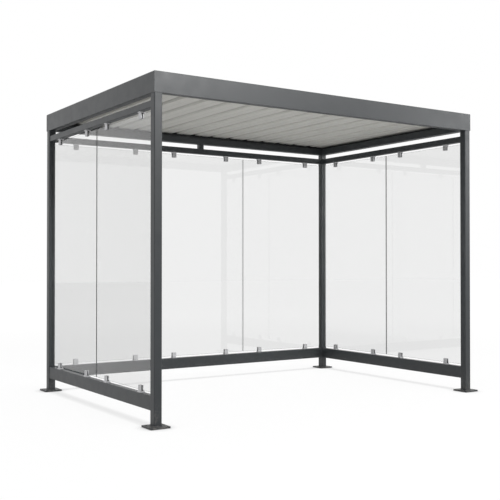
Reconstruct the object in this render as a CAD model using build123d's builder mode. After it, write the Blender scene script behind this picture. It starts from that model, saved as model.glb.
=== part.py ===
"""Bus shelter: a square-tube frame glazed on three sides under a flat trapezoidal-sheet roof.

Millimetres, +Z up. The origin is on the ground, midway between the four posts.
+X runs along the back wall and +Y points from the open front to the back wall.
"""

from build123d import *
import math
import os

# --- driving dimensions -------------------------------------------------------------------

post_spacing_x = 3000  # post centres along the back wall
post_spacing_y = 2000  # post centres from front to back
post_width = 60
post_wall = 3

plate_width = 145  # base plates
plate_thickness = 12
anchor_spacing = 105
anchor_hole = 14

eaves_height = 2260  # ground to the underside of the roof frame
beam_height = 60
beam_wall = 3

fascia_height = 145
fascia_sheet = 3
fascia_bend = 5  # outer radius of each fold
fascia_return = 45  # top flange, turned in over the roof edge
fascia_lip = 14  # the flange's turned-down edge

packer_front = 23  # channels that carry the roof sheet and give it its fall to the back
packer_back = 8
packer_wall = 3
packer_end_gap = 10
closure_base = 3  # foam strips on the packers that fill the sheet's ribs
closure_depth = 40
closure_gap = 0.5  # strip to the slopes and crest of a rib

sheet_thickness = 1
sheet_edge_gap = 3  # roof sheet to the fascia on all four sides
rib_pitch = 200
rib_height = 35
rib_base = 80
rib_crest = 40
first_rib_inset = 58  # first rib's middle, in from the frame's left face
swage_height = 8  # small stiffening ridge midway between two ribs
swage_base = 28
swage_crest = 14
lap_clearance = 0.3  # between the two sheets of a side lap

rail_width = 50  # tubes that carry the glass, across the wall
rail_wall = 3
top_rail_height = 50
bottom_rail_height = 100
bottom_rail_clearance = 110  # ground to the underside of the bottom rails
roof_gap = 45  # open gap between the top rails and the roof frame

glass_thickness = 8
glass_arris = 1  # ground edge
glass_edge_gap = 18  # glass to the rail above and below
pane_gap = 8  # between panes, and from a pane to a post

clamp_spacing = 580  # the two clamps on one edge of a pane
clamp_width = 40  # along the rail
clamp_height = 50
clamp_jaw = 8
clamp_floor = 10  # rail to the bottom of the slot
clamp_foot = 42  # foot on the rail, across the wall
clamp_foot_height = 4
clamp_chamfer = 1.5  # upright corners
pad_thickness = 2  # rubber liner between jaw and glass
pad_end_gap = 3  # the liner stops short of the clamp's ends

# --- levels and local frames ---------------------------------------------------------------

beam_top = eaves_height + beam_height
top_rail_top = eaves_height - roof_gap
top_rail_bottom = top_rail_top - top_rail_height
bottom_rail_top = bottom_rail_clearance + bottom_rail_height
glass_bottom = bottom_rail_top + glass_edge_gap
glass_top = top_rail_bottom - glass_edge_gap
frame_half_x = post_spacing_x / 2 + post_width / 2
frame_half_y = post_spacing_y / 2 + post_width / 2

# Each side has its own frame on the line through its post centres: x along the side, y inwards, z up.
sides = {
    "front": Plane(origin=(0, -post_spacing_y / 2, 0), x_dir=(1, 0, 0), z_dir=(0, 0, 1)),
    "back": Plane(origin=(0, post_spacing_y / 2, 0), x_dir=(-1, 0, 0), z_dir=(0, 0, 1)),
    "left": Plane(origin=(-post_spacing_x / 2, 0, 0), x_dir=(0, -1, 0), z_dir=(0, 0, 1)),
    "right": Plane(origin=(post_spacing_x / 2, 0, 0), x_dir=(0, 1, 0), z_dir=(0, 0, 1)),
}
side_run = {"front": post_spacing_x, "back": post_spacing_x, "left": post_spacing_y, "right": post_spacing_y}
corners = {
    "front_left": (-post_spacing_x / 2, -post_spacing_y / 2),
    "front_right": (post_spacing_x / 2, -post_spacing_y / 2),
    "back_left": (-post_spacing_x / 2, post_spacing_y / 2),
    "back_right": (post_spacing_x / 2, post_spacing_y / 2),
}


def across(side, along, height, flip=False):
    """Plane square to a side's run: x inwards, y up (or down when flipped), at a place along it."""
    normal = side.x_dir * (-1 if flip else 1)
    return Plane(origin=side.from_local_coords(Vector(along, 0, height)), x_dir=side.y_dir, z_dir=normal)


def save(piece, name):
    piece.part.label = name
    export_step(piece.part, f"parts/{name}.step")


def tube_section(width, height, wall):
    """Hollow section in the open sketch, with the outer radius twice the wall as rolled tube has it."""
    RectangleRounded(width, height, 2 * wall)
    RectangleRounded(width - 2 * wall, height - 2 * wall, wall, mode=Mode.SUBTRACT)


os.makedirs("parts", exist_ok=True)

# --- posts and base plates -----------------------------------------------------------------

for corner, (x, y) in corners.items():
    with BuildPart() as plate:
        with BuildSketch() as outline:
            with Locations((x, y)):
                Rectangle(plate_width, plate_width)
                with GridLocations(anchor_spacing, anchor_spacing, 2, 2):
                    Circle(anchor_hole / 2, mode=Mode.SUBTRACT)
        extrude(amount=plate_thickness)
    save(plate, f"{corner}_base_plate")

    with BuildPart() as post:
        with BuildSketch(Plane.XY.offset(plate_thickness)) as section:
            with Locations((x, y)):
                tube_section(post_width, post_width, post_wall)
        extrude(amount=eaves_height - plate_thickness)
    save(post, f"{corner}_post")

# --- roof frame and fascia, mitred at the corners -------------------------------------------


def mitre(side, run, outwards, inwards, height):
    """Cuts the piece in hand to its side's share of the ring, from a level up."""
    with BuildSketch(side.offset(height)) as share:
        Polygon(
            (-run / 2 - outwards, -outwards),
            (run / 2 + outwards, -outwards),
            (run / 2 - inwards, inwards),
            (-run / 2 + inwards, inwards),
            align=None,
        )
    extrude(share.sketch, amount=fascia_height + beam_height, mode=Mode.INTERSECT)


for name, side in sides.items():
    run = side_run[name]
    with BuildPart() as beam:
        with BuildSketch(across(side, -run / 2 - post_width / 2, eaves_height + beam_height / 2)) as section:
            tube_section(post_width, beam_height, beam_wall)
        extrude(amount=run + post_width)
        mitre(side, run, post_width / 2, post_width / 2, eaves_height)
    save(beam, f"{name}_roof_beam")

    fascia_out = post_width / 2 + fascia_sheet
    with BuildPart() as fascia:
        with BuildSketch(across(side, -run / 2 - fascia_out, eaves_height)) as section:
            with BuildLine() as fold:
                FilletPolyline(
                    (-fascia_out, 0),
                    (-fascia_out, fascia_height),
                    (-fascia_out + fascia_return, fascia_height),
                    (-fascia_out + fascia_return, fascia_height - fascia_lip),
                    radius=fascia_bend,
                )
                offset(amount=fascia_sheet, side=Side.RIGHT)
            make_face()
        extrude(amount=run + 2 * fascia_out)
        mitre(side, run, fascia_out, fascia_return - fascia_out, eaves_height)
    save(fascia, f"{name}_fascia")

# --- roof sheet on its packers -------------------------------------------------------------

fall = (packer_front - packer_back) / post_spacing_y
closure_rise = closure_base * math.hypot(1, fall)
seat_back = beam_top + packer_back + closure_rise
seat_front = beam_top + packer_front + closure_rise


def packer_top(y):
    """Height of the packers' top, which follows the roof sheet, over a line across the shelter."""
    return beam_top + packer_back + (post_spacing_y / 2 - y) * fall


def packer_outline(near, far, wall):
    """Upright sides on the beam and a top one wall thickness under the packer's own."""
    return Polygon(
        (near, beam_top),
        (far, beam_top),
        (far, packer_top(far) - wall),
        (near, packer_top(near) - wall),
        align=None,
        mode=Mode.SUBTRACT if wall else Mode.ADD,
    )


for name, middle in (("front", -post_spacing_y / 2), ("back", post_spacing_y / 2)):
    near = middle - post_width / 2
    far = middle + post_width / 2
    with BuildPart() as packer:
        with BuildSketch(Plane.YZ) as section:
            packer_outline(near, far, 0)
            packer_outline(near + packer_wall, far - packer_wall, packer_wall)
        extrude(amount=frame_half_x - packer_end_gap, both=True)
    save(packer, f"{name}_sheet_packer")

web_angle = math.atan2(rib_height, (rib_base - rib_crest) / 2)
lap_rise = sheet_thickness + lap_clearance
first_rib = first_rib_inset - frame_half_x
sheet_edge = frame_half_x - sheet_edge_gap
rib_count = int((sheet_edge - rib_base / 2 - first_rib) // rib_pitch) + 1
sheet_names = ("left", "middle", "right")
ribs_per_sheet = math.ceil(rib_count / len(sheet_names))


def rib(middle, gap=0):
    """The four corners of a rib, left to right, or of what fills it all but for a gap."""
    return [
        (middle - rib_base / 2 + gap, 0),
        (middle - rib_crest / 2 + gap, rib_height - gap),
        (middle + rib_crest / 2 - gap, rib_height - gap),
        (middle + rib_base / 2 - gap, 0),
    ]


def swage_after(middle, gap=0):
    """The swage halfway from a rib to the next one, unless it would pass the edge of the sheet."""
    swage_middle = middle + rib_pitch / 2
    if swage_middle + swage_base / 2 > sheet_edge:
        return []
    return [
        (swage_middle - swage_base / 2 + gap, 0),
        (swage_middle - swage_crest / 2 + gap, swage_height - gap),
        (swage_middle + swage_crest / 2 - gap, swage_height - gap),
        (swage_middle + swage_base / 2 - gap, 0),
    ]


def lap_rib(middle):
    """The rib that laps over the last one of the sheet before: larger by the lap's rise, open on the left."""
    half_crest = rib_crest / 2 + lap_rise * math.tan(web_angle / 2)
    half_base = rib_base / 2 + lap_rise / math.sin(web_angle)
    return [
        (middle - half_base + lap_rise / math.tan(web_angle), lap_rise),
        (middle - half_crest, rib_height + lap_rise),
        (middle + half_crest, rib_height + lap_rise),
        (middle + half_base, 0),
    ]


sheet_overhang = post_width / 2 - sheet_edge_gap
sheet_plane = Plane(
    origin=(0, post_spacing_y / 2, seat_back),
    x_dir=(1, 0, 0),
    z_dir=(0, -post_spacing_y, seat_front - seat_back),
).offset(-sheet_overhang)
seat_run = math.hypot(post_spacing_y, seat_front - seat_back)

for index, name in enumerate(sheet_names):
    first = index * ribs_per_sheet
    last = min(first + ribs_per_sheet, rib_count)
    points = [(-sheet_edge, 0)] if first == 0 else []
    for number in range(first, last):
        middle = first_rib + number * rib_pitch
        points += rib(middle) if first == 0 or number > first else lap_rib(middle)
        points += swage_after(middle)
    if last == rib_count:
        points.append((sheet_edge, 0))
    else:
        points += rib(first_rib + last * rib_pitch)[:3]
    with BuildPart() as sheet:
        with BuildSketch(sheet_plane) as section:
            with BuildLine() as profile:
                Polyline(points)
                offset(amount=sheet_thickness, side=Side.LEFT, kind=Kind.INTERSECTION)
            make_face()
        extrude(amount=seat_run + 2 * sheet_overhang)
    save(sheet, f"{name}_roof_sheet")

# --- rib closures, flush with the packers' inner faces -------------------------------------

closure_end = frame_half_x - packer_end_gap
points = [(-closure_end, -closure_base), (-closure_end, 0)]
for number in range(rib_count):
    middle = first_rib + number * rib_pitch
    points += rib(middle, closure_gap) + swage_after(middle, closure_gap)
points += [(closure_end, 0), (closure_end, -closure_base)]
back_start = sheet_overhang + post_width / 2 - closure_depth
front_start = sheet_overhang + seat_run - post_width / 2
with BuildPart() as closures:
    for start in (back_start, front_start):
        with BuildSketch(sheet_plane.offset(start)) as section:
            with BuildLine() as outline:
                Polyline(points, close=True)
            make_face()
        extrude(amount=closure_depth)
save(closures, "rib_closures")

# --- rails ---------------------------------------------------------------------------------

# The panes of each glazed side, in the order that its own x runs.
glazed = {
    "left": ("back", "front"),
    "back": ("right", "middle", "left"),
    "right": ("front", "back"),
}

for name in glazed:
    side = sides[name]
    length = side_run[name] - post_width
    top_middle = top_rail_bottom + top_rail_height / 2
    bottom_middle = bottom_rail_top - bottom_rail_height / 2
    with BuildPart() as top_rail:
        with BuildSketch(across(side, -length / 2, top_middle)) as section:
            tube_section(rail_width, top_rail_height, rail_wall)
        extrude(amount=length)
    save(top_rail, f"{name}_top_rail")

    with BuildPart() as bottom_rail:
        with BuildSketch(across(side, -length / 2, bottom_middle)) as section:
            tube_section(rail_width, bottom_rail_height, rail_wall)
        extrude(amount=length)
    save(bottom_rail, f"{name}_bottom_rail")

with BuildPart() as strut:
    with BuildSketch(sides["back"].offset(top_rail_top)) as section:
        tube_section(rail_width, rail_width, rail_wall)
    extrude(amount=roof_gap)
save(strut, "back_rail_strut")

# --- glass, clamps and their rubber liners ---------------------------------------------------


def pane_middles(name):
    """Pane width and the places of the panes' middles along a side."""
    count = len(glazed[name])
    opening = side_run[name] - post_width
    width = (opening - (count + 1) * pane_gap) / count
    first = -opening / 2 + pane_gap + width / 2
    return width, [first + number * (width + pane_gap) for number in range(count)]


def clamp_body(plane):
    """Two jaws on a flared foot, with a slot for the glass and its liner."""
    slot = glass_thickness / 2 + pad_thickness
    outer = slot + clamp_jaw
    with BuildSketch(plane) as section:
        with BuildLine() as half:
            Polyline(
                (0, 0),
                (clamp_foot / 2, 0),
                (clamp_foot / 2, clamp_foot_height),
                (outer, clamp_floor),
                (outer, clamp_height),
                (slot, clamp_height),
                (slot, clamp_floor),
                (0, clamp_floor),
            )
            mirror(about=Plane.YZ)
        make_face()
    extrude(section.sketch, amount=clamp_width)


def liner_body(plane):
    """U-shaped rubber liner that seats the pane's edge in the slot."""
    slot = glass_thickness / 2 + pad_thickness
    with BuildSketch(plane) as section:
        with Locations((0, clamp_floor)):
            Rectangle(2 * slot, clamp_height - clamp_floor, align=(Align.CENTER, Align.MIN))
        with Locations((0, glass_edge_gap)):
            Rectangle(
                glass_thickness,
                clamp_height - glass_edge_gap,
                align=(Align.CENTER, Align.MIN),
                mode=Mode.SUBTRACT,
            )
    extrude(section.sketch, amount=clamp_width - 2 * pad_end_gap)


for name in glazed:
    side = sides[name]
    width, middles = pane_middles(name)
    for middle, place in zip(middles, glazed[name]):
        with BuildPart() as pane:
            face = Plane(
                origin=side.from_local_coords(Vector(middle, 0, (glass_bottom + glass_top) / 2)),
                x_dir=side.x_dir,
                z_dir=-side.y_dir,
            )
            with BuildSketch(face) as outline:
                Rectangle(width, glass_top - glass_bottom)
            extrude(amount=glass_thickness / 2, both=True)
            through = Axis((0, 0, 0), side.y_dir)
            chamfer(pane.edges().filter_by(through, reverse=True), glass_arris)
        save(pane, f"{name}_wall_{place}_pane")

    clamp_places = [middle + end * clamp_spacing / 2 for middle in middles for end in (-1, 1)]
    for level, height, flip in (("bottom", bottom_rail_top, False), ("top", top_rail_bottom, True)):
        start = 1 if flip else -1
        with BuildPart() as clamps:
            for place in clamp_places:
                clamp_body(across(side, place + start * clamp_width / 2, height, flip))
            upright = clamps.edges().filter_by(Axis.Z)
            outer_corners = upright.filter_by(lambda edge: edge.length > clamp_height - clamp_floor - 0.1)
            chamfer(outer_corners, clamp_chamfer)
        save(clamps, f"{name}_{level}_clamps")

    with BuildPart() as liners:
        for height, flip in ((bottom_rail_top, False), (top_rail_bottom, True)):
            start = 1 if flip else -1
            for place in clamp_places:
                liner_body(across(side, place + start * (clamp_width / 2 - pad_end_gap), height, flip))
    save(liners, f"{name}_clamp_liners")
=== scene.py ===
"""The look of a glazed bus shelter: anthracite tube frame, clamped glass walls and a ribbed-sheet roof.

Metres, in the shelter's own frame: the ground is z = 0, +X runs along the back wall and +Y goes to it.
"""

import math

import bpy
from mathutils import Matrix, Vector


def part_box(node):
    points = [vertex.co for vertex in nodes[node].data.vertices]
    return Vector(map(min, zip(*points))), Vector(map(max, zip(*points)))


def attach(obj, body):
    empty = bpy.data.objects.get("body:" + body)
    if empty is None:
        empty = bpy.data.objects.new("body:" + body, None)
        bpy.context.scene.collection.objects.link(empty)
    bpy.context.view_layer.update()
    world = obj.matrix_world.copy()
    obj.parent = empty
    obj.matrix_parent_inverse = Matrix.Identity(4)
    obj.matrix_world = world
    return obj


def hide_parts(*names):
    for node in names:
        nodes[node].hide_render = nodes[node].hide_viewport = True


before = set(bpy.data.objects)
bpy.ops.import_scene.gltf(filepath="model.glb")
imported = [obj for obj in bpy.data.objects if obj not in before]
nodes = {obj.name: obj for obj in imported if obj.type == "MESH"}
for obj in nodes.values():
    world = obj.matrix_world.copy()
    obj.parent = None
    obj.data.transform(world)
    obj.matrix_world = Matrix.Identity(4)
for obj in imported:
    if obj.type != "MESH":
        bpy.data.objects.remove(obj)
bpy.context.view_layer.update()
bpy.ops.object.select_all(action="DESELECT")

# --- Posts, roof frame and rails ------------------------------------------------------------
# Square steel tube, welded up, galvanised and powder coated in anthracite. The coat has a fine
# orange-peel skin, softened arrises, and a little splash dust that fades out above the feet.


def add_node(tree, kind, inputs=None, **settings):
    """A node with its settings, and plain values or feeding sockets for its inputs."""
    node = tree.nodes.new(kind)
    for name, value in settings.items():
        setattr(node, name, value)
    for name, value in (inputs or {}).items():
        if isinstance(value, bpy.types.NodeSocket):
            tree.links.new(value, node.inputs[name])
        else:
            node.inputs[name].default_value = value
    return node


def noise(tree, place, scale, detail):
    """A cloudy value that varies with the place on the piece."""
    texture = add_node(tree, "ShaderNodeTexNoise", {"Vector": place, "Scale": scale, "Detail": detail})
    return texture.outputs["Fac"]


def calc(tree, operation, *values):
    """What a math node makes of numbers or sockets."""
    return add_node(tree, "ShaderNodeMath", dict(enumerate(values)), operation=operation).outputs[0]


def ramp(tree, value, start, end, first=0.0, last=1.0, shape="LINEAR"):
    """Runs from first to last as a value goes from start to end."""
    run = {"Value": value, "From Min": start, "From Max": end, "To Min": first, "To Max": last}
    return add_node(tree, "ShaderNodeMapRange", run, interpolation_type=shape).outputs["Result"]


def blend(tree, share, under, over, way="MIX"):
    """A share of one colour laid over another, or multiplied with it."""
    layers = {"Factor": share, 6: under, 7: over}
    return add_node(tree, "ShaderNodeMix", layers, data_type="RGBA", blend_type=way).outputs[2]


def new_group(name, inputs, outputs):
    """A node group with inputs (name, kind, value) and outputs (name, kind), and its sockets inside."""
    tree = bpy.data.node_groups.new(name, "ShaderNodeTree")
    for socket, kind, value in inputs:
        made = tree.interface.new_socket(socket, in_out="INPUT", socket_type=kind)
        made.default_value = value
    for socket, kind in outputs:
        tree.interface.new_socket(socket, in_out="OUTPUT", socket_type=kind)
    return tree, tree.nodes.new("NodeGroupInput").outputs, tree.nodes.new("NodeGroupOutput").inputs


def put_out(tree, result, **made):
    """Joins what a group has made to its outputs of the same names."""
    for name, socket in made.items():
        tree.links.new(socket, result[name.replace("_", " ")])


def new_material(name, group=None, group_inputs=None, **surface):
    """A material with plain values for its shader, and a group that feeds the sockets it has names for."""
    material = bpy.data.materials.new(name)
    material.use_nodes = True
    tree = material.node_tree
    shader = tree.nodes["Principled BSDF"]
    for socket, value in surface.items():
        shader.inputs[socket.replace("_", " ")].default_value = value
    if group:
        finish = add_node(tree, "ShaderNodeGroup", group_inputs, node_tree=group)
        for socket in finish.outputs:
            tree.links.new(socket, shader.inputs[socket.name])
    return material


def dress(material, *names):
    """Gives solids of the frame their finish."""
    for name in names:
        nodes[name].data.materials.clear()
        nodes[name].data.materials.append(material)


COLOUR, NUMBER, VECTOR = "NodeSocketColor", "NodeSocketFloat", "NodeSocketVector"
splash_height = 0.22
splash_dust = (0.23, 0.21, 0.19, 1)

powder_coat, entry, result = new_group(
    "powder_coat",
    [
        ("Coat", COLOUR, (0.05, 0.055, 0.06, 1)),
        ("Gloss", NUMBER, 0.4),
        ("Skin", NUMBER, 0.00012),
        ("Arris", NUMBER, 0.0008),
        ("Dust", NUMBER, 0.3),
    ],
    [("Base Color", COLOUR), ("Roughness", NUMBER), ("Normal", VECTOR)],
)
place = add_node(powder_coat, "ShaderNodeTexCoord").outputs["Object"]
height = add_node(powder_coat, "ShaderNodeSeparateXYZ", {"Vector": place}).outputs["Z"]
cloud = ramp(powder_coat, noise(powder_coat, place, 2.2, 3), 0.3, 0.7, 0.94, 1.06)
toned = blend(powder_coat, 1, entry["Coat"], cloud, "MULTIPLY")
near_ground = ramp(powder_coat, height, 0, splash_height, 1, 0, "SMOOTHSTEP")
specks = ramp(powder_coat, noise(powder_coat, place, 60, 6), 0.45, 0.75)
dust = calc(powder_coat, "MULTIPLY", near_ground, specks)
dust_share = calc(powder_coat, "MULTIPLY", dust, entry["Dust"])
dusted = blend(powder_coat, dust_share, toned, splash_dust)
rubbed = ramp(powder_coat, noise(powder_coat, place, 14, 4), 0.3, 0.7, -0.04, 0.05)
gloss = calc(powder_coat, "ADD", entry["Gloss"], rubbed)
dulled = calc(powder_coat, "MULTIPLY_ADD", dust_share, 0.4, gloss)
soft_edge = add_node(powder_coat, "ShaderNodeBevel", {"Radius": entry["Arris"]}, samples=4)
skin = add_node(
    powder_coat,
    "ShaderNodeBump",
    {
        "Strength": 1,
        "Distance": entry["Skin"],
        "Height": noise(powder_coat, place, 420, 2),
        "Normal": soft_edge.outputs["Normal"],
    },
)
put_out(powder_coat, result, Base_Color=dusted, Roughness=dulled, Normal=skin.outputs["Normal"])

anthracite = (0.031, 0.035, 0.038, 1)
frame_coat = new_material(
    "frame_coat", powder_coat, {"Coat": anthracite, "Gloss": 0.36}, Specular_IOR_Level=0.42
)
corners = ("front_left", "front_right", "back_left", "back_right")
sides = ("front", "back", "left", "right")
walls = ("left", "back", "right")
dress(frame_coat, *[f"{corner}_post" for corner in corners])
dress(frame_coat, *[f"{side}_roof_beam" for side in sides])
dress(frame_coat, *[f"{wall}_{level}_rail" for wall in walls for level in ("top", "bottom")])
dress(frame_coat, "back_rail_strut")

# --- Base plates and their welds ------------------------------------------------------------
# Flame-cut steel squares under the posts, coated with the frame. A fillet weld runs all round
# each post's foot, and the coat is rubbed and dusty on the flat of the plate.

plate_coat = new_material(
    "plate_coat", powder_coat, {"Coat": anthracite, "Gloss": 0.42, "Dust": 0.7}, Specular_IOR_Level=0.42
)
dress(plate_coat, *[f"{corner}_base_plate" for corner in corners])

weld_leg = 0.003
weld_corner = 0.006
post_low, post_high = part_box("front_left_post")
post_width = post_high.x - post_low.x


def select_edges(piece, fits):
    """Edit mode, with those edges selected whose two ends fit."""
    bpy.ops.object.select_all(action="DESELECT")
    bpy.context.view_layer.objects.active = piece
    piece.select_set(True)
    bpy.ops.object.mode_set(mode="EDIT")
    bpy.ops.mesh.select_all(action="DESELECT")
    bpy.ops.object.mode_set(mode="OBJECT")
    for edge in piece.data.edges:
        if all(fits(piece.data.vertices[v].co) for v in edge.vertices):
            edge.select = True
            for v in edge.vertices:
                piece.data.vertices[v].select = True
    bpy.ops.object.mode_set(mode="EDIT")


def copy_of(piece, name):
    """A second one of a piece, with its own mesh."""
    twin = piece.copy()
    twin.data = piece.data.copy()
    twin.name = name
    bpy.context.scene.collection.objects.link(twin)
    return twin


def settle(piece, location):
    """Puts a piece in its place, faces it outward and leaves it unselected."""
    bpy.ops.object.select_all(action="DESELECT")
    bpy.context.view_layer.objects.active = piece
    piece.select_set(True)
    piece.location = location
    bpy.ops.object.transform_apply(location=True, rotation=True, scale=True)
    bpy.ops.object.mode_set(mode="EDIT")
    bpy.ops.mesh.select_all(action="SELECT")
    bpy.ops.mesh.normals_make_consistent(inside=False)
    bpy.ops.object.mode_set(mode="OBJECT")
    piece.select_set(False)


# A ring with round corners is drawn down the post's face. Its top is then drawn down and out to the
# toe, and the two lower rings are bridged.
bpy.ops.mesh.primitive_plane_add(size=post_width, location=(0, 0, 0))
first_weld = bpy.context.object
first_weld.name = f"{corners[0]}_foot_weld"
bpy.ops.object.mode_set(mode="EDIT")
bpy.ops.mesh.select_all(action="SELECT")
bpy.ops.mesh.delete(type="ONLY_FACE")
bpy.ops.mesh.select_all(action="SELECT")
bpy.ops.transform.translate(value=(0, 0, weld_leg))
bpy.ops.mesh.bevel(offset=weld_corner, segments=4, affect="VERTICES")
bpy.ops.mesh.select_all(action="SELECT")
bpy.ops.mesh.extrude_edges_move(TRANSFORM_OT_translate={"value": (0, 0, -weld_leg)})
bpy.ops.object.mode_set(mode="OBJECT")
toe = (post_width + 2 * weld_leg) / post_width
select_edges(first_weld, lambda co: co.z > weld_leg / 2)
bpy.ops.mesh.extrude_edges_move(TRANSFORM_OT_translate={"value": (0, 0, -weld_leg)})
bpy.ops.transform.resize(value=(toe, toe, 1), center_override=(0, 0, 0))
bpy.ops.object.mode_set(mode="OBJECT")
select_edges(first_weld, lambda co: co.z < weld_leg / 2)
bpy.ops.mesh.bridge_edge_loops()
bpy.ops.object.mode_set(mode="OBJECT")
welds = [first_weld] + [copy_of(first_weld, f"{corner}_foot_weld") for corner in corners[1:]]
for corner, weld in zip(corners, welds):
    post_low, post_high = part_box(f"{corner}_post")
    settle(weld, ((post_low.x + post_high.x) / 2, (post_low.y + post_high.y) / 2, post_low.z))
    weld.data.materials.append(plate_coat)
    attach(weld, "root")

# --- Fascia ---------------------------------------------------------------------------------
# Folded steel sheet round the roof frame, mitred at the corners and coated to match. Flat sheet
# takes a smoother coat than tube, so its skin is finer and its sheen a little higher.

fascia_coat = new_material(
    "fascia_coat",
    powder_coat,
    {"Coat": anthracite, "Gloss": 0.34, "Skin": 0.00008, "Dust": 0.0},
    Specular_IOR_Level=0.42,
)
dress(fascia_coat, *[f"{side}_fascia" for side in sides])

# --- Sheet packers --------------------------------------------------------------------------
# Steel bars with rolled edges, on edge along the outer faces of the front and back tubes and
# coated with them. They carry the roof sheet and lift it clear of the tubes.

packer_width = 0.015
packer_height = 0.02
packer_arris = 0.001
packer_end_gap = 0.01
beam_low, beam_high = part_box("front_roof_beam")
back_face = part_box("back_roof_beam")[1].y
packer_length = beam_high.x - beam_low.x - 2 * packer_end_gap

bpy.ops.mesh.primitive_cube_add(size=1, location=(0, 0, 0))
front_packer = bpy.context.object
front_packer.name = "front_packer_bar"
bpy.ops.object.mode_set(mode="EDIT")
bpy.ops.mesh.select_all(action="SELECT")
bpy.ops.transform.resize(value=(packer_length, packer_width, packer_height))
bpy.ops.mesh.bevel(offset=packer_arris, segments=2)
bpy.ops.object.mode_set(mode="OBJECT")
back_packer = copy_of(front_packer, "back_packer_bar")
for side, bar, middle in (
    ("front", front_packer, beam_low.y + packer_width / 2),
    ("back", back_packer, back_face - packer_width / 2),
):
    settle(bar, (0, middle, beam_high.z + packer_height / 2))
    bar.data.materials.append(frame_coat)
    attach(bar, "root")
    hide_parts(f"{side}_sheet_packer")

# --- Roof sheets ----------------------------------------------------------------------------
# Roll-formed trapezoidal steel sheet in three widths that lap at a rib, with a pale grey coil
# coating on both faces. It lies on the packers. Rolling leaves faint streaks along the ribs, and
# shade is painted into the coating's colour in its folds, where ambient occlusion finds them.

coil_coating, entry, result = new_group(
    "coil_coating",
    [("Coat", COLOUR, (0.5, 0.5, 0.48, 1))],
    [("Base Color", COLOUR), ("Roughness", NUMBER), ("Normal", VECTOR)],
)
place = add_node(coil_coating, "ShaderNodeTexCoord").outputs["Object"]
along = add_node(coil_coating, "ShaderNodeMapping", {"Vector": place, "Scale": (90, 1.5, 90)})
streaks = noise(coil_coating, along.outputs[0], 1, 4)
streak_shade = ramp(coil_coating, streaks, 0.3, 0.7, 0.96, 1.03)
# Painted shade: the coat's colour is darkened where ambient occlusion finds folds and recesses.
fold_occlusion = add_node(coil_coating, "ShaderNodeAmbientOcclusion", {"Distance": 0.05}, samples=8)
painted_fold_shade = ramp(coil_coating, fold_occlusion.outputs["AO"], 0.5, 0.95, 0.64, 1.05)
streaks_and_painted_shade = calc(coil_coating, "MULTIPLY", streak_shade, painted_fold_shade)
coat_with_streaks_and_painted_shade = blend(coil_coating, 1, entry["Coat"], streaks_and_painted_shade, "MULTIPLY")
dulled = ramp(coil_coating, streaks, 0.3, 0.7, 0.42, 0.52)
grain = add_node(
    coil_coating,
    "ShaderNodeBump",
    {"Strength": 1, "Distance": 0.00004, "Height": noise(coil_coating, place, 700, 2)},
)
put_out(coil_coating, result, Base_Color=coat_with_streaks_and_painted_shade, Roughness=dulled, Normal=grain.outputs["Normal"])

sheet_coat = new_material("sheet_coat", coil_coating, {"Coat": (0.622, 0.612, 0.575, 1)})

sheet_thickness = 0.001
rib_pitch = 0.2
rib_base = 0.06
rib_crest = 0.03
rib_height = 0.035
swage_base = 0.028
swage_crest = 0.014
swage_height = 0.003
lap_clearance = 0.0003
first_rib_inset = 0.051  # first rib's middle, in from the frame's left face
ribs_per_sheet = 5
join_reach = 0.0001


def repeat(piece, count, step, join=False):
    """Repeats a piece along a step, and joins the repeats where they meet."""
    array = piece.modifiers.new("repeat", "ARRAY")
    array.count = count
    array.use_relative_offset = False
    array.use_constant_offset = True
    array.constant_offset_displace = step
    array.use_merge_vertices = join
    array.merge_threshold = join_reach
    bpy.context.view_layer.objects.active = piece
    bpy.ops.object.modifier_apply(modifier="repeat")


def ribbed_strip(name, length, ribs, gap=0.0):
    """An edge drawn out into ribs and swages, or into what fills them all but for a gap."""
    web = (rib_base - rib_crest) / 2
    swage_web = (swage_base - swage_crest) / 2
    land = (rib_pitch - rib_base - swage_base) / 2 + 2 * gap
    folds = [
        (web, rib_height - gap),
        (rib_crest - 2 * gap, 0),
        (web, gap - rib_height),
        (land, 0),
        (swage_web, swage_height - gap),
        (swage_crest - 2 * gap, 0),
        (swage_web, gap - swage_height),
        (land, 0),
    ]
    bpy.ops.mesh.primitive_plane_add(size=length, location=(0, 0, 0))
    strip = bpy.context.object
    strip.name = name
    bpy.ops.object.mode_set(mode="EDIT")
    bpy.ops.mesh.select_all(action="SELECT")
    bpy.ops.transform.resize(value=(0, 1, 1))
    bpy.ops.mesh.remove_doubles(threshold=join_reach)
    for across, up in folds:
        bpy.ops.mesh.extrude_edges_move(TRANSFORM_OT_translate={"value": (across, 0, up)})
    bpy.ops.object.mode_set(mode="OBJECT")
    repeat(strip, ribs, (rib_pitch, 0, 0), join=True)
    return strip


def draw_end(strip, end, folds):
    """Draws the strip's left (min) or right (max) edge out further."""
    last = end(vertex.co.x for vertex in strip.data.vertices)
    select_edges(strip, lambda co: abs(co.x - last) < join_reach)
    for across, up in folds:
        bpy.ops.mesh.extrude_edges_move(TRANSFORM_OT_translate={"value": (across, 0, up)})
    bpy.ops.object.mode_set(mode="OBJECT")


roof_low, roof_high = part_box("left_roof_sheet")
roof_right_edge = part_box("right_roof_sheet")[1].x
closure_base = 0.003  # of the foam strips between the packers and the sheet
sheet_underside = beam_high.z + packer_height + closure_base
first_foot = beam_low.x + first_rib_inset - rib_base / 2
ribs_end = first_foot + 3 * ribs_per_sheet * rib_pitch

left_sheet = ribbed_strip("left_ribbed_sheet", roof_high.y - roof_low.y, ribs_per_sheet)
middle_sheet = copy_of(left_sheet, "middle_ribbed_sheet")
right_sheet = copy_of(left_sheet, "right_ribbed_sheet")

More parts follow.
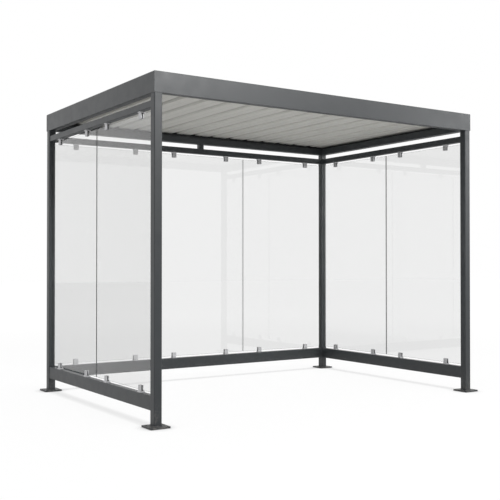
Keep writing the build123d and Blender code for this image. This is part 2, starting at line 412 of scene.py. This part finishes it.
# At each lap the left-hand sheet ends on the crest of a rib, and the next one lies over it.
web_angle = math.atan2(rib_height, (rib_base - rib_crest) / 2)
lap_offset = sheet_thickness + lap_clearance
under_height = rib_height - lap_offset
under_lap = [
    (lap_offset / math.sin(web_angle), 0),
    (under_height / math.tan(web_angle), under_height),
    (rib_crest / 2, 0),
]
draw_end(left_sheet, min, [(roof_low.x - first_foot, 0)])
draw_end(left_sheet, max, under_lap)
draw_end(middle_sheet, max, under_lap)
draw_end(right_sheet, max, [(roof_right_edge - ribs_end, 0)])
for lapping in (middle_sheet, right_sheet):
    select_edges(lapping, lambda co: co.x < join_reach)
    bpy.ops.transform.translate(value=(lap_offset / math.tan(web_angle), 0, lap_offset))
    bpy.ops.object.mode_set(mode="OBJECT")

widths = {"left": left_sheet, "middle": middle_sheet, "right": right_sheet}
for number, (width, sheet) in enumerate(widths.items()):
    bpy.context.view_layer.objects.active = sheet
    gauge = sheet.modifiers.new("gauge", "SOLIDIFY")
    gauge.thickness = sheet_thickness
    gauge.offset = 1
    gauge.use_even_offset = True
    bpy.ops.object.modifier_apply(modifier="gauge")
    settle(sheet, (first_foot + number * ribs_per_sheet * rib_pitch, 0, sheet_underside))
    sheet.data.materials.append(sheet_coat)
    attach(sheet, "root")
    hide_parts(f"{width}_roof_sheet")

# --- Rib closures ---------------------------------------------------------------------------
# Closed-cell foam strips, cut to the sheet's ribs and laid between it and the packers. The cut
# faces are dull and finely pitted, and have picked up a little dust.

cell_foam, entry, result = new_group(
    "cell_foam",
    [("Foam", COLOUR, (0.02, 0.02, 0.02, 1)), ("Settled", COLOUR, (0.06, 0.058, 0.055, 1))],
    [("Base Color", COLOUR), ("Normal", VECTOR)],
)
place = add_node(cell_foam, "ShaderNodeTexCoord").outputs["Object"]
cells = add_node(cell_foam, "ShaderNodeTexVoronoi", {"Vector": place, "Scale": 900}).outputs["Distance"]
dusting = ramp(cell_foam, noise(cell_foam, place, 25, 5), 0.45, 0.8, 0, 0.6)
dusted = blend(cell_foam, dusting, entry["Foam"], entry["Settled"])
pits = add_node(cell_foam, "ShaderNodeBump", {"Strength": 0.8, "Distance": 0.0003, "Height": cells})
put_out(cell_foam, result, Base_Color=dusted, Normal=pits.outputs["Normal"])
closure_foam = new_material("closure_foam", cell_foam, Roughness=0.9, Specular_IOR_Level=0.3)

closure_gap = 0.0005
closure_depth = roof_high.y - (back_face - packer_width)
front_closure = ribbed_strip("front_rib_closure", closure_depth, 3 * ribs_per_sheet, closure_gap)
draw_end(front_closure, min, [(beam_low.x + packer_end_gap - first_foot - closure_gap, 0)])
draw_end(front_closure, max, [(beam_high.x - packer_end_gap - ribs_end - closure_gap, 0)])
bpy.ops.object.mode_set(mode="EDIT")
bpy.ops.mesh.select_all(action="SELECT")
bpy.ops.mesh.extrude_region_move(TRANSFORM_OT_translate={"value": (0, 0, -closure_base)})
bpy.ops.transform.resize(value=(1, 1, 0), center_override=(0, 0, -closure_base))
bpy.ops.object.mode_set(mode="OBJECT")
back_closure = copy_of(front_closure, "back_rib_closure")
for closure, middle in (
    (front_closure, roof_low.y + closure_depth / 2),
    (back_closure, roof_high.y - closure_depth / 2),
):
    settle(closure, (first_foot + closure_gap, middle, sheet_underside))
    closure.data.materials.append(closure_foam)
    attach(closure, "root")
    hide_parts("rib_closures")

# --- Roof screws ----------------------------------------------------------------------------
# Self-drilling hexagon screws with dished sealing washers, coated to match the sheet. One goes
# down through each rib's crest and the foam under it into the packer, at both ends of the rib.

washer_radius = 0.006
flange_radius = 0.0047
hexagon_radius = 0.004  # to the corners
hexagon_height = 0.004
hexagon_chamfer = 0.0005
hexagon_top_radius = 0.00344
screw_from_face = 0.0095  # of the tube under the packer
same_height = 0.00001


def draw_ring(radius, steps):
    """Draws the selected ring up and in or out, by (rise, radius) steps."""
    for rise, next_radius in steps:
        bpy.ops.mesh.extrude_edges_move(TRANSFORM_OT_translate={"value": (0, 0, rise)})
        spread = next_radius / radius
        bpy.ops.transform.resize(value=(spread, spread, 1), center_override=(0, 0, 0))
        radius = next_radius


def close_head(screw, rim):
    """Bridges a head's two rings at its rim's height and closes its underside."""
    select_edges(screw, lambda co: abs(co.z - rim) < same_height)
    bpy.ops.mesh.bridge_edge_loops()
    bpy.ops.object.mode_set(mode="OBJECT")
    select_edges(screw, lambda co: co.z < same_height)
    bpy.ops.mesh.edge_face_add()
    bpy.ops.object.mode_set(mode="OBJECT")


washer_steps = [
    (0.0008, washer_radius),
    (0.0007, flange_radius),
    (0.0008, flange_radius),
    (0.0003, hexagon_radius + 0.0002),
]
flange_top = sum(rise for rise, radius in washer_steps)
hexagon_steps = [
    (hexagon_height - hexagon_chamfer, hexagon_radius),
    (hexagon_chamfer, hexagon_top_radius),
]
bpy.ops.mesh.primitive_circle_add(vertices=24, radius=washer_radius, location=(0, 0, 0))
front_screws = bpy.context.object
front_screws.name = "front_roof_screws"
bpy.ops.object.mode_set(mode="EDIT")
bpy.ops.mesh.select_all(action="SELECT")
draw_ring(washer_radius, washer_steps)
bpy.ops.mesh.primitive_circle_add(vertices=6, radius=hexagon_radius, location=(0, 0, flange_top))
draw_ring(hexagon_radius, hexagon_steps)
bpy.ops.mesh.edge_face_add()
bpy.ops.object.mode_set(mode="OBJECT")
close_head(front_screws, flange_top)
repeat(front_screws, 3 * ribs_per_sheet, (rib_pitch, 0, 0))
back_screws = copy_of(front_screws, "back_roof_screws")
crest_top = sheet_underside + rib_height + sheet_thickness
for screws, middle in (
    (front_screws, beam_low.y + screw_from_face),
    (back_screws, back_face - screw_from_face),
):
    settle(screws, (beam_low.x + first_rib_inset, middle, crest_top))
    # The screws take the sheet's coating, with its painted shade in their folds.
    screws.data.materials.append(sheet_coat)
    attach(screws, "root")

# --- Glass panes ----------------------------------------------------------------------------
# Toughened float glass, clear with a faint grey cast, held by its top and bottom edges alone. The
# edges are ground matt, and a painted near-black shade stands in for light run through the pane's width.

pane_glass, entry, result = new_group(
    "pane_glass",
    [
        ("Across", VECTOR, (0, 1, 0)),
        ("Clear", COLOUR, (0.855, 0.857, 0.856, 1)),
        ("Edge", COLOUR, (0.002, 0.003, 0.003, 1)),
    ],
    [("Base Color", COLOUR), ("Roughness", NUMBER)],
)
facing = add_node(
    pane_glass,
    "ShaderNodeVectorMath",
    {0: add_node(pane_glass, "ShaderNodeTexCoord").outputs["Normal"], 1: entry["Across"]},
    operation="DOT_PRODUCT",
)
flat_on = calc(pane_glass, "ABSOLUTE", facing.outputs["Value"])
is_edge = calc(pane_glass, "LESS_THAN", flat_on, 0.9)
# Painted shade: the edge faces take a near-black colour.
body_colour = blend(pane_glass, is_edge, entry["Clear"], entry["Edge"])
put_out(pane_glass, result, Base_Color=body_colour, Roughness=is_edge)

pane_places = {
    "left": ("front", "back"),
    "back": ("left", "middle", "right"),
    "right": ("front", "back"),
}
for wall, across in (("left", (1, 0, 0)), ("back", (0, 1, 0)), ("right", (1, 0, 0))):
    glass = new_material(
        f"{wall}_glass", pane_glass, {"Across": across}, Transmission_Weight=1.0, IOR=1.5
    )
    tree = glass.node_tree
    lamp_ray = add_node(tree, "ShaderNodeLightPath").outputs["Is Shadow Ray"]
    let_through = add_node(tree, "ShaderNodeBsdfTransparent", {"Color": (0.86, 0.88, 0.87, 1)})
    mixed = add_node(
        tree,
        "ShaderNodeMixShader",
        {0: lamp_ray, 1: tree.nodes["Principled BSDF"].outputs[0], 2: let_through.outputs[0]},
    )
    tree.links.new(mixed.outputs[0], tree.nodes["Material Output"].inputs["Surface"])
    dress(glass, *[f"{wall}_wall_{pane}_pane" for pane in pane_places[wall]])

# --- Glass clamps ---------------------------------------------------------------------------
# Die-cast zinc clamps, bead blasted and satin chromed, two on the top and two on the bottom edge of
# each pane. They are fixed to the rails, and moulded EPDM liners in their slots grip the glass.

satin_metal, entry, result = new_group(
    "satin_metal",
    [("Metal", COLOUR, (0.4, 0.4, 0.41, 1))],
    [("Base Color", COLOUR), ("Roughness", NUMBER), ("Normal", VECTOR)],
)
place = add_node(satin_metal, "ShaderNodeTexCoord").outputs["Object"]
blast = noise(satin_metal, place, 900, 3)
metal = blend(satin_metal, 1, entry["Metal"], ramp(satin_metal, blast, 0.3, 0.7, 0.9, 1.05), "MULTIPLY")
satin = ramp(satin_metal, blast, 0.3, 0.7, 0.52, 0.64)
soft_edge = add_node(satin_metal, "ShaderNodeBevel", {"Radius": 0.0012}, samples=4)
blasted = add_node(
    satin_metal,
    "ShaderNodeBump",
    {"Strength": 1, "Distance": 0.00003, "Height": blast, "Normal": soft_edge.outputs[0]},
)
put_out(satin_metal, result, Base_Color=metal, Roughness=satin, Normal=blasted.outputs["Normal"])

clamp_metal = new_material("clamp_metal", satin_metal, {"Metal": (0.5, 0.5, 0.51, 1)}, Metallic=1.0)
dress(clamp_metal, *[f"{wall}_{level}_clamps" for wall in walls for level in ("top", "bottom")])

moulded_rubber, entry, result = new_group(
    "moulded_rubber",
    [("Rubber", COLOUR, (0.02, 0.02, 0.02, 1)), ("Bloom", COLOUR, (0.05, 0.05, 0.05, 1))],
    [("Base Color", COLOUR), ("Roughness", NUMBER)],
)
place = add_node(moulded_rubber, "ShaderNodeTexCoord").outputs["Object"]
bloom = noise(moulded_rubber, place, 220, 4)
bloomed = blend(moulded_rubber, bloom, entry["Rubber"], entry["Bloom"])
matt = ramp(moulded_rubber, bloom, 0, 1, 0.6, 0.85)
put_out(moulded_rubber, result, Base_Color=bloomed, Roughness=matt)
liner_rubber = new_material("liner_rubber", moulded_rubber)
dress(liner_rubber, *[f"{wall}_clamp_liners" for wall in walls])

# --- Clamp screws ---------------------------------------------------------------------------
# Stainless button-head screws with a hexagon socket, one in the inner jaw of each clamp, which
# draw the jaws together on the rubber and the glass.

button_radius = 0.005
button_height = 0.0026
socket_radius = 0.002  # to the corners
socket_depth = 0.0015
liner_thickness = 0.002
jaw_thickness = 0.008
clamp_width = 0.04
clamp_spacing = 0.58  # of the two clamps on an edge of a pane
screw_from_rail = 0.03

dome_steps = [
    (button_height * 0.3, button_radius),
    (button_height * 0.35, button_radius * 0.9),
    (button_height * 0.25, button_radius * 0.72),
    (button_height * 0.1, button_radius * 0.55),
]
bpy.ops.mesh.primitive_circle_add(vertices=24, radius=button_radius, location=(0, 0, 0))
button = bpy.context.object
button.name = "back_clamp_screws"
bpy.ops.object.mode_set(mode="EDIT")
bpy.ops.mesh.select_all(action="SELECT")
draw_ring(button_radius, dome_steps)
bpy.ops.mesh.primitive_circle_add(vertices=6, radius=socket_radius, location=(0, 0, button_height))
draw_ring(socket_radius, [(-socket_depth, socket_radius)])
bpy.ops.mesh.edge_face_add()
bpy.ops.object.mode_set(mode="OBJECT")
close_head(button, button_height)
button.rotation_euler = (math.pi / 2, 0, 0)
bpy.ops.object.transform_apply(location=True, rotation=True, scale=True)
wall_screws = {
    "left": copy_of(button, "left_clamp_screws"),
    "back": button,
    "right": copy_of(button, "right_clamp_screws"),
}
for wall, screws in wall_screws.items():
    clamps_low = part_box(f"{wall}_bottom_clamps")[0]
    clamps_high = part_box(f"{wall}_top_clamps")[1]
    pane_low, pane_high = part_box(f"{wall}_wall_{pane_places[wall][0]}_pane")
    next_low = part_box(f"{wall}_wall_{pane_places[wall][1]}_pane")[0]
    if wall == "back":
        jaw_face = pane_low.y - liner_thickness - jaw_thickness
        first = (clamps_low.x + clamp_width / 2, jaw_face)
        turn = 0
    elif wall == "left":
        jaw_face = pane_high.x + liner_thickness + jaw_thickness
        first = (jaw_face, clamps_low.y + clamp_width / 2)
        turn = math.pi / 2
    else:
        jaw_face = pane_low.x - liner_thickness - jaw_thickness
        first = (jaw_face, clamps_high.y - clamp_width / 2)
        turn = -math.pi / 2
    pane_pitch = (next_low - pane_low).length
    rail_to_rail = clamps_high.z - clamps_low.z - 2 * screw_from_rail
    repeat(screws, 2, (clamp_spacing, 0, 0))
    repeat(screws, len(pane_places[wall]), (pane_pitch, 0, 0))
    repeat(screws, 2, (0, 0, rail_to_rail))
    screws.rotation_euler = (0, 0, turn)
    settle(screws, (*first, clamps_low.z + screw_from_rail))
    screws.data.materials.append(clamp_metal)
    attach(screws, "root")

# --- Studio ---------------------------------------------------------------------------------
# A white floor that keeps soft shadows, with a painted contact shadow near the shelter, and an even
# white surround. Reflections see painted shade on the floor behind the shelter. Three soft lamps stand
# in front of the open side, a small one low at the left, and a broad one hangs overhead.


def by_ray(tree, seen, mirrored, lit):
    """Separate values for what is seen, also through glass, for reflections, and for the light given."""
    path = add_node(tree, "ShaderNodeLightPath").outputs
    bounces = calc(tree, "ADD", path["Diffuse Depth"], path["Glossy Depth"])
    straight = calc(tree, "LESS_THAN", bounces, 0.5)
    in_view = calc(tree, "MAXIMUM", path["Is Camera Ray"], path["Is Transmission Ray"])
    direct = calc(tree, "MULTIPLY", in_view, straight)
    off_metal = calc(tree, "MINIMUM", path["Is Transmission Ray"], path["Glossy Depth"])
    reflected = calc(tree, "MAXIMUM", path["Is Glossy Ray"], off_metal)
    return ramp(tree, direct, 0, 1, ramp(tree, reflected, 0, 1, lit, mirrored), seen)


floor_size = 80
floor_drop = 0.0005  # keeps it off the undersides of the base plates
bpy.ops.mesh.primitive_plane_add(size=floor_size, location=(0, 0, -floor_drop))
floor = bpy.context.object
floor.name = "studio_floor"
floor.select_set(False)
paper = new_material("studio_paper", Roughness=0.9, Specular_IOR_Level=0.0)
tree = paper.node_tree
shader = tree.nodes["Principled BSDF"]
tree.links.new(by_ray(tree, 0.08, 0.1, 0.3), shader.inputs["Base Color"])
place = add_node(tree, "ShaderNodeTexCoord").outputs["Object"]
reach = add_node(tree, "ShaderNodeVectorMath", {0: place}, operation="LENGTH").outputs["Value"]
far_off = ramp(tree, reach, 3, 12, 0.93, 0.98, "SMOOTHSTEP")
where = add_node(tree, "ShaderNodeSeparateXYZ", {"Vector": place}).outputs
# Painted shade: reflections see the floor darker behind the shelter.
behind = ramp(tree, where["Y"], 1.0, 2.5, shape="SMOOTHSTEP")
beside = ramp(tree, where["X"], -2.5, -1.0, shape="SMOOTHSTEP")
painted_shade_behind = calc(tree, "MULTIPLY", behind, beside)
mirrored_floor = ramp(tree, painted_shade_behind, 0, 1, 0.78, 0.34)
shown = calc(tree, "MULTIPLY", by_ray(tree, 1.0, mirrored_floor, 0.42), far_off)
# Painted shadow: the floor's glow is darkened by ambient occlusion close to the shelter.
close_by = add_node(tree, "ShaderNodeAmbientOcclusion", {"Distance": 0.125}, samples=16).outputs["AO"]
painted_contact_shadow = calc(tree, "POWER", close_by, 1.5)
glow = add_node(tree, "ShaderNodeEmission", {"Strength": calc(tree, "MULTIPLY", shown, painted_contact_shadow)})
both = add_node(tree, "ShaderNodeAddShader", {0: shader.outputs[0], 1: glow.outputs[0]})
tree.links.new(both.outputs[0], tree.nodes["Material Output"].inputs["Surface"])
floor.data.materials.append(paper)

world = bpy.data.worlds.new("studio_surround")
bpy.context.scene.world = world
world.use_nodes = True
tree = world.node_tree
tree.nodes["Background"].inputs["Color"].default_value = (1, 1, 1, 1)
tree.links.new(by_ray(tree, 1.0, 1.0, 0.45), tree.nodes["Background"].inputs["Strength"])


def soft_lamp(name, location, target, width, height, power):
    """An area lamp that faces a point."""
    lamp = bpy.data.lights.new(name, "AREA")
    lamp.shape = "RECTANGLE"
    lamp.size = width
    lamp.size_y = height
    lamp.energy = power
    lamp_object = bpy.data.objects.new(name, lamp)
    bpy.context.scene.collection.objects.link(lamp_object)
    lamp_object.location = location
    lamp_object.rotation_euler = (Vector(target) - Vector(location)).to_track_quat("-Z", "Y").to_euler()


soft_lamp("left_lamp", (2.0, -8.6, 5.4), (-1.5, -1, 1.8), 3.4, 2.2, 400)
soft_lamp("middle_lamp", (5.4, -7.8, 5.6), (0.5, -1, 1.8), 2.0, 2.0, 75)
soft_lamp("right_lamp", (9.0, -6.9, 4.3), (1.5, -1, 1.8), 1.6, 4.2, 180)
soft_lamp("low_lamp", (-6.5, -0.6, 0.9), (-1.5, -0.3, 0.6), 1.5, 1.5, 33)
soft_lamp("overhead_lamp", (0, 0, 7.0), (0, 0, 0), 5.0, 5.0, 110)

# --- Camera ---------------------------------------------------------------------------------
# Stands off the front left corner at chest height and looks in through the open front, with a
# slightly long lens.

tilt_up = 0.01158
turn_right = 0.58273
eye = bpy.data.cameras.new("view")
eye.sensor_width = 36
eye.lens = 61.05
eye.shift_y = 0.0077
camera = bpy.data.objects.new("view", eye)
bpy.context.scene.collection.objects.link(camera)
camera.location = (-4.1219, -6.1289, 1.1040)
camera.rotation_euler = (math.pi / 2 + tilt_up, 0, -turn_right)
bpy.context.scene.camera = camera
bpy.context.scene.view_settings.view_transform = "Standard"
